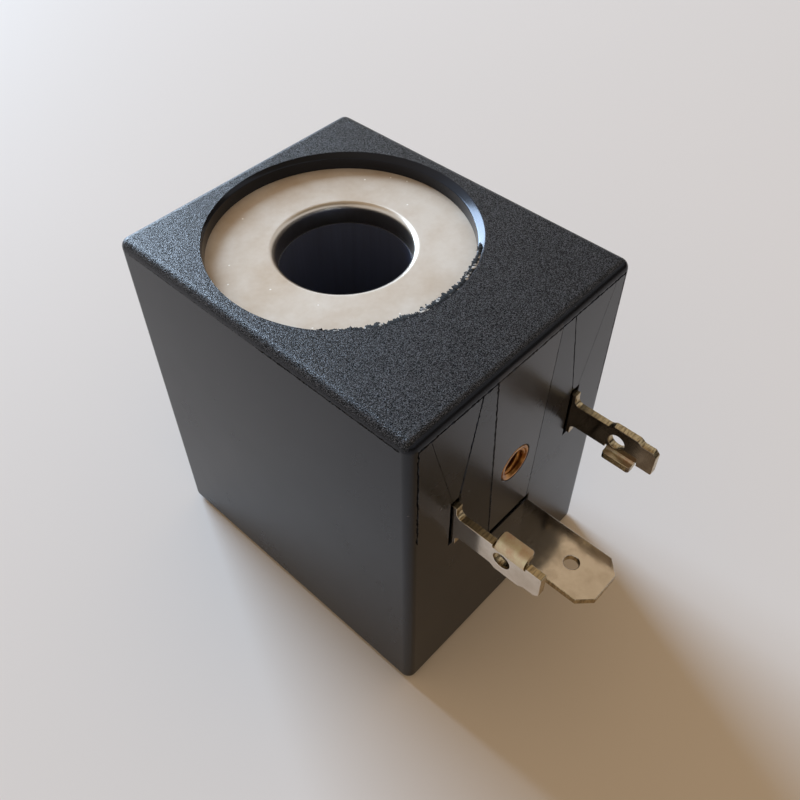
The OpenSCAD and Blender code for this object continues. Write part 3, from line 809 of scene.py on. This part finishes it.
def bendFace(bm, face, centre, axis, angle, steps):  # draws a cut face round a bend, step by step
    for i in range(steps):
        face = bmesh.ops.extrude_discrete_faces(bm, faces=[face])["faces"][0]
        turn = Matrix.Rotation(angle / steps, 3, axis)
        for vert in face.verts:
            vert.co = centre + turn @ (vert.co - centre)
    return face


def drawFace(bm, face, offset):
    face = bmesh.ops.extrude_discrete_faces(bm, faces=[face])["faces"][0]
    bmesh.ops.translate(bm, verts=face.verts, vec=offset)
    return face


def finishStamping(name, bm, place, roll, materials):
    bm.transform(place)
    bmesh.ops.recalc_face_normals(bm, faces=bm.faces)
    piece = showMesh(name, bm, materials)
    edge = piece.modifiers.new("edge", "BEVEL")
    edge.width = roll * mm
    edge.segments = 3
    edge.limit_method = "ANGLE"
    edge.angle_limit = math.radians(40)
    settle(piece)
    smoothFlats(piece, 50)
    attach(piece, "root")
    return piece


def powerStamping():
    b = blade
    end, half = b["length"], b["half"]
    flapFrom, flapTo = b["flap"]
    bend, relief, neck, corner = b["bendLine"], b["relief"], b["neck"], b["corner"]
    shared = [(-b["tail"], 0.0), (-b["tail"], half), (-b["shoulderIn"], half)]
    shared += [(-b["shoulderIn"], b["shoulder"]), (b["shoulderOut"], b["shoulder"])]
    shared += arc(b["shoulderOut"] + neck, half + neck, neck, 180, 270, 10)
    upper = shared + [(flapFrom - relief, half), (flapFrom - relief, bend), (flapFrom, bend)]
    upper += [(flapTo, bend), (flapTo + relief, bend), (flapTo + relief, half)]
    upper += arc(end - corner, half - corner, corner, 90, 0, 4) + [(end, 0.0)]
    u0, u1, u2, u3, rise = b["bulge"]
    steps = b["bulgeSteps"]
    swell = [(s / steps) ** 2 * (3 - 2 * s / steps) for s in range(steps + 1)]  # eases in and out
    lower = shared + [(u0 + (u1 - u0) * i / steps, half + rise * s) for i, s in enumerate(swell)]
    lower += [(u2 + (u3 - u2) * i / steps, half + rise * (1 - s)) for i, s in enumerate(swell)]
    lower += [(end - b["tip"], half), (end, half - b["tip"]), (end, 0.0)]
    for outline in (upper, lower):
        for centre, radius in (b["hole"], b["tailHole"]):
            outline += arc(centre, 0.0, radius, 0, 180, b["holeSteps"])
    bm = stampSheet([upper, [(u, -v) for u, v in lower]], b["sheet"])
    root = None
    for face in bm.faces:
        middle = face.calc_center_median()
        if abs(middle.y - bend) < 1e-4 and flapFrom < middle.x < flapTo and face.normal.y > 0.9:
            root = face
    centre = Vector((0.0, bend, -b["sheet"] / 2 - b["bendRadius"]))
    tip = bendFace(bm, root, centre, "X", math.radians(-90), b["bendSteps"])
    tip = drawFace(bm, tip, (0.0, 0.0, -(b["flapEnd"] - b["sheet"] / 2 - b["bendRadius"])))
    bmesh.ops.recalc_face_normals(bm, faces=bm.faces)
    for face in bm.faces:
        middle = face.calc_center_median()
        if middle.y > bend + 0.01 and flapFrom - 0.01 < middle.x < flapTo + 0.01:
            face.material_index = 1 if abs(face.normal.x) > 0.9 or face == tip else 2
    corners = [e for e in tip.edges if abs(e.verts[0].co.x - e.verts[1].co.x) < 1e-6]
    bmesh.ops.bevel(bm, geom=corners, offset=b["flapCorner"], segments=5, profile=0.5, affect="EDGES")
    return bm


# the right terminal takes the darker copy of the tin, as painted shade
for side, hand, coat in (("left", -1, "bright"), ("right", 1, "paintedShade")):
    along = (0, 0, hand, hand * blade["x"]), (-1, 0, 0, block["face"])
    place = Matrix.Scale(mm, 4) @ Matrix((*along, (0, -hand, 0, blade["z"]), (0, 0, 0, 1)))
    finish = [tinnedBrass[coat], shearedBrass["upright"], torn["tinCrazedOverBend"]]
    piece = finishStamping(side + "Terminal", powerStamping(), place, blade["edgeRoll"], finish)
    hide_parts(side + "_terminal")
    print(side, "terminal:", len(piece.data.polygons), "faces")

# Earth terminal: a wide flat blade with chamfered corners and a bent foot inside the moulding
earth = {
    "z": 15.6, "half": 3.15, "length": 12.2, "chamfer": 1.4, "sheet": 0.8, "hole": (8.1, 0.8),
    "foot": 5.0, "footX": -8.95, "bendRadius": 0.6, "bendSteps": 10, "edgeRoll": 0.08,
    "holeSteps": 24,
}
bendAt = earth["footX"] + earth["bendRadius"] + earth["sheet"]
end, half = earth["length"], earth["half"]
outline = [(bendAt, 0.0), (bendAt, half), (end - earth["chamfer"], half)]
outline += [(end, half - earth["chamfer"]), (end, 0.0)]
centre, radius = earth["hole"]
outline += arc(centre, 0.0, radius, 0, 180, earth["holeSteps"])
bm = stampSheet([outline, [(u, -v) for u, v in outline]], earth["sheet"])
roots = [f for f in bm.faces if abs(f.calc_center_median().x - bendAt) < 1e-4 and f.normal.x < -0.9]
root = bmesh.ops.dissolve_faces(bm, faces=roots, use_verts=True)["region"][0]
centre = Vector((bendAt, 0.0, -earth["sheet"] / 2 - earth["bendRadius"]))
foot = bendFace(bm, root, centre, "Y", math.radians(-90), earth["bendSteps"])
foot = drawFace(bm, foot, (0.0, 0.0, -(earth["foot"] - earth["sheet"] / 2 - earth["bendRadius"])))
bmesh.ops.recalc_face_normals(bm, faces=bm.faces)
for face in bm.faces:
    if face.calc_center_median().x < bendAt - 0.01:
        face.material_index = 1 if abs(face.normal.y) > 0.9 or face == foot else 0
along = (0, -1, 0, 0), (-1, 0, 0, block["face"])
place = Matrix.Scale(mm, 4) @ Matrix((*along, (0, 0, 1, earth["z"]), (0, 0, 0, 1)))
finish = [tinnedBrass["bright"], shearedBrass["flat"]]
piece = finishStamping("earthTerminal", bm, place, earth["edgeRoll"], finish)
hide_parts("earth_terminal")
print("earth terminal:", len(piece.data.polygons), "faces")

# Screw insert: a turned bush with two grooves, a blind hole and a real M3 thread swept along a spiral
insert = {
    "radius": 2.05, "length": 6.5, "bore": 1.5, "depth": 5.5, "drillTip": 0.45, "groove": (0.3, 1.0),
    "grooveSlope": 0.1, "mouth": 0.25, "mouthLip": (0.8, 0.02), "rimEase": 0.08, "endEase": 0.1, "steps": 96,
}
r, long, bore, depth = insert["radius"], insert["length"], insert["bore"], insert["depth"]
mouth, rim, foot, slant = insert["mouth"], insert["rimEase"], insert["endEase"], insert["grooveSlope"]
lipShare, lipDrop = insert["mouthLip"]
profile = [(0.0, -depth - insert["drillTip"]), (bore, -depth), (bore, -mouth)]
profile += [(bore + mouth * lipShare, -lipDrop), (bore + mouth, 0.0), (r - rim, 0.0), (r, -rim)]
deep, wide = insert["groove"]
for i in (1, 2):
    middle = -long * i / 3
    profile += [(r, middle + wide / 2), (r - deep, middle + wide / 2 - slant)]
    profile += [(r - deep, middle - wide / 2 + slant), (r, middle - wide / 2)]
profile += [(r, -long + foot), (r - foot, -long), (0.0, -long)]
screwInsert = showMesh("screwInsert", lathe(profile, insert["steps"], seat), [turnedBrass])
smoothFlats(screwInsert, 30)
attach(screwInsert, "root")
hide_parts("threaded_insert")

thread = {
    "Turns": 10.0, "Pitch": 0.5 * mm, "Radius": 1.5 * mm, "Ridge": 0.26 * mm, "Ridge Sides": 6, "Steps": 40,
    "Start": (block["face"] + 0.3) * mm, "Height": block["plugHeight"] * mm,
}
tree, given = startTree("insertThread", thread)
rise = addNode(tree, "ShaderNodeMath", {
    0: given["Turns"], 1: given["Pitch"],
}, operation="MULTIPLY").outputs[0]
spiral = addNode(tree, "GeometryNodeCurveSpiral", {
    "Resolution": given["Steps"], "Rotations": given["Turns"], "Start Radius": given["Radius"],
    "End Radius": given["Radius"], "Height": rise,
}).outputs["Curve"]
ridge = addNode(tree, "GeometryNodeCurvePrimitiveCircle", {
    "Resolution": given["Ridge Sides"], "Radius": given["Ridge"],
}, mode="RADIUS").outputs["Curve"]
swept = addNode(tree, "GeometryNodeCurveToMesh", {
    "Curve": spiral, "Profile Curve": ridge, "Fill Caps": True,
}).outputs["Mesh"]
spot = addNode(tree, "ShaderNodeCombineXYZ", {"Y": given["Start"], "Z": given["Height"]}).outputs[0]
laid = addNode(tree, "GeometryNodeTransform", {
    "Geometry": swept, "Translation": spot, "Rotation": (math.radians(-90), 0.0, 0.0),
}).outputs["Geometry"]
endTree(tree, laid, given["Finish"])
insertThread = growPiece("insertThread", tree, thread, turnedBrass)
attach(insertThread, "root")
print("screw insert and thread:", len(insertThread.data.polygons), "faces")

# Inner nodes keep their solids and get their own finishes
finishes = {
    "bobbin": "darkNylonMoulded", "yoke_sleeve": "coldRolledSteelOiled",
    "winding": "enamelledCopperWire", "winding_tape": "amberPolyesterFilm",
    "start_lead": "enamelledCopperWire", "finish_lead": "enamelledCopperWire",
    "start_lead_sleeve": "braidedGlassSleeving", "finish_lead_sleeve": "braidedGlassSleeving",
    "left_solder_joint": "softSolderSet", "right_solder_joint": "softSolderSet",
}
for node, finish in finishes.items():
    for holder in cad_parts[node].material_slots:
        holder.material = innerFinish[finish]
print("inner nodes:", len(finishes))

# Table, room and window: matt pale laminate with a slow drift of tone, and dull brown felt with a nap
studio = {
    "table": "#dddbd9", "tableDrift": "#dfdcda", "tableSize": 3.0, "tableDrop": 0.02,
    "backdrop": "#dcdad8", "fill": "#b99f80", "fillStrength": 1.0,
    "windowAzimuth": 81.0, "windowHeight": 22.0, "windowDistance": 1.5, "windowSize": (0.66, 0.9),
    "windowColour": "#cfe7ff", "windowPower": 43.0,
    "card": "#2b241e", "cardNap": "#352d25", "cardSteps": 48, "cardDistance": 0.9, "cardTop": 0.4,
    "cardFrom": -150.0, "cardTo": 28.0,
    "ceiling": "#bcaa92", "ceilingShade": "#827360", "ceilingSpan": 0.75, "ceilingHeight": 1.0,
    "ceilingFall": (-0.3, 0.15),
}
stageFinish = {}
for finish, size, tone, drift, surface in (
    ("paleTableLaminate", 60.0, "table", "tableDrift", {"Roughness": 0.6, "Specular IOR Level": 0.05}),
    ("darkFeltCard", 2.0, "card", "cardNap", {"Roughness": 0.9}),
):
    stageFinish[finish], tree, coords, shader = startMaterial(finish)
    clouds = addNode(tree, "ShaderNodeTexNoise", {
        "Vector": coords, "Scale": perMm(size), "Detail": 2.0,
    }).outputs["Fac"]
    face = addNode(tree, "ShaderNodeMix", {
        0: clouds, 6: linear(studio[tone]), 7: linear(studio[drift]),
    }, data_type="RGBA").outputs[2]
    feed(shader, surface)
    feed(shader, {"Base Color": face})
bm = bmesh.new()
under = Matrix.Translation((0.0, 0.0, -studio["tableDrop"] * mm))
bmesh.ops.create_grid(bm, x_segments=8, y_segments=8, size=studio["tableSize"], matrix=under)
showMesh("table", bm, [stageFinish["paleTableLaminate"]])

# A dark card on the camera's side gives the rounded metal edges their dark half
bm = bmesh.new()
stations = []
for i in range(studio["cardSteps"] + 1):
    share = i / studio["cardSteps"]
    turn = math.radians(studio["cardFrom"] + (studio["cardTo"] - studio["cardFrom"]) * share)
    foot = Vector((math.cos(turn), math.sin(turn), 0.0)) * studio["cardDistance"]
    stations.append((bm.verts.new(foot), bm.verts.new(foot + Vector((0.0, 0.0, studio["cardTop"])))))
for here, there in zip(stations, stations[1:]):
    bm.faces.new((here[0], there[0], there[1], here[1]))
bmCeiling = bmesh.new()
above = Matrix.Translation((0.0, 0.0, studio["ceilingHeight"]))
bmesh.ops.create_grid(bmCeiling, x_segments=4, y_segments=4, size=studio["ceilingSpan"], matrix=above)
warmCeiling, tree, coords, glow = startMaterial("warmCeilingCard", "ShaderNodeEmission")
across = addNode(tree, "ShaderNodeSeparateXYZ", {0: coords}).outputs["Y"]
lit = addNode(tree, "ShaderNodeMapRange", {
    "Value": across, "From Min": studio["ceilingFall"][0], "From Max": studio["ceilingFall"][1],
}).outputs["Result"]
face = addNode(tree, "ShaderNodeMix", {
    0: lit, 6: linear(studio["ceilingShade"]), 7: linear(studio["ceiling"]),
}, data_type="RGBA").outputs[2]  # the ceiling falls off towards the camera's side
feed(glow, {"Color": face, "Strength": 1.0})
darkCard = showMesh("darkCard", bm, [stageFinish["darkFeltCard"]])
for card in (darkCard, showMesh("warmCeiling", bmCeiling, [warmCeiling])):
    card.visible_camera = False
    card.visible_diffuse = False
    card.visible_shadow = False

room = bpy.data.worlds.new("room")
scene.world = room
room.use_nodes = True
room.node_tree.nodes.clear()
tree = room.node_tree
path = addNode(tree, "ShaderNodeLightPath").outputs
seen = path["Is Camera Ray"]
for ray in ("Is Glossy Ray", "Is Transmission Ray"):
    seen = addNode(tree, "ShaderNodeMath", {0: seen, 1: path[ray]}, operation="MAXIMUM").outputs[0]
fill = addNode(tree, "ShaderNodeBackground", {
    "Color": linear(studio["fill"]), "Strength": studio["fillStrength"],
})
backdrop = addNode(tree, "ShaderNodeBackground", {"Color": linear(studio["backdrop"]), "Strength": 1.0})
mixed = addNode(tree, "ShaderNodeMixShader", {0: seen, 1: fill.outputs[0], 2: backdrop.outputs[0]})
addNode(tree, "ShaderNodeOutputWorld", {"Surface": mixed.outputs[0]})

window = bpy.data.lights.new("window", "AREA")
window.shape = "RECTANGLE"
window.size, window.size_y = studio["windowSize"]
window.energy = studio["windowPower"]
window.color = linear(studio["windowColour"])[:3]
lamp = bpy.data.objects.new("window", window)
scene.collection.objects.link(lamp)
az, el = math.radians(studio["windowAzimuth"]), math.radians(studio["windowHeight"])
direction = Vector((math.cos(el) * math.cos(az), math.cos(el) * math.sin(az), math.sin(el)))
lamp.location = direction * studio["windowDistance"]
lamp.rotation_euler = direction.to_track_quat("Z", "Y").to_euler()
lamp.visible_camera = False

view = {
    "place": (-44.09, -48.59, 91.55), "right": (0.68062, -0.73261, -0.00575),
    "up": (0.55317, 0.50873, 0.65969), "forward": (0.48038, 0.45218, -0.75151), "lens": 39.02,
    "sensor": 36.0, "near": 0.002, "far": 20.0,
}
camera = bpy.data.cameras.new("camera")
camera.lens = view["lens"]
camera.sensor_width = view["sensor"]
camera.clip_start = view["near"]
camera.clip_end = view["far"]
eye = bpy.data.objects.new("camera", camera)
scene.collection.objects.link(eye)
right, up, forward = Vector(view["right"]), Vector(view["up"]), Vector(view["forward"])
turned = Matrix((right, up, -forward)).transposed().to_4x4()
eye.matrix_world = Matrix.Translation(Vector(view["place"]) * mm) @ turned
scene.camera = eye
print("camera and light set")
